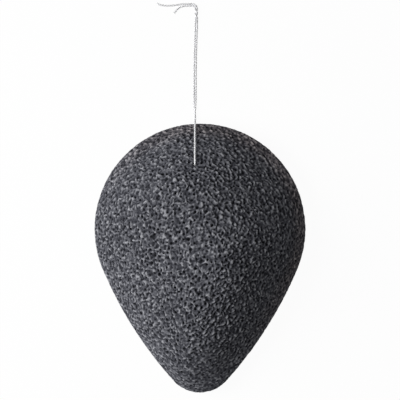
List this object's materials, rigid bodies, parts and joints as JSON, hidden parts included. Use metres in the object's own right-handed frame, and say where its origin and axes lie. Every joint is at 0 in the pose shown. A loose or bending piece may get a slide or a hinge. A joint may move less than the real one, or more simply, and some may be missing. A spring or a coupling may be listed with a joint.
{
  "type": "konjac sponge",
  "caption": "Drop-shaped konjac foam face sponge with a flat back, a domed front and a thin cotton thread hanging loop that swings at the rim.",
  "frame": {"origin": "centre of the sponge's bounding box at its bottom: on the flat back, below the crown of the dome", "axes": "+Z out of the flat back towards the crown, +Y from the tip towards the round top, +X to the right as the domed front is looked at with the round top up"},
  "size_m": [0.08, 0.1483, 0.032],
  "materials": {
    "konjac_foam": "matt open-cell konjac foam with bamboo charcoal, dark grey",
    "cotton_thread": "plied cotton thread, off-white, matt"
  },
  "bodies": {
    "sponge": {"sponge_body": "konjac_foam", "thread_front_run": "cotton_thread", "thread_channel_run": "cotton_thread", "thread_back_run": "cotton_thread"},
    "loop": {"thread_front_strand": "cotton_thread", "thread_back_strand": "cotton_thread", "thread_knot": "cotton_thread", "thread_long_tail": "cotton_thread", "thread_short_tail": "cotton_thread"}
  },
  "joints": [
    {"name": "loop_swing", "type": "hinge", "parent": "sponge", "child": "loop", "pos_m": [-0.0019, 0.0535, 0], "axis": [0, 0, 1], "range_deg": [-60, 60]}
  ]
}
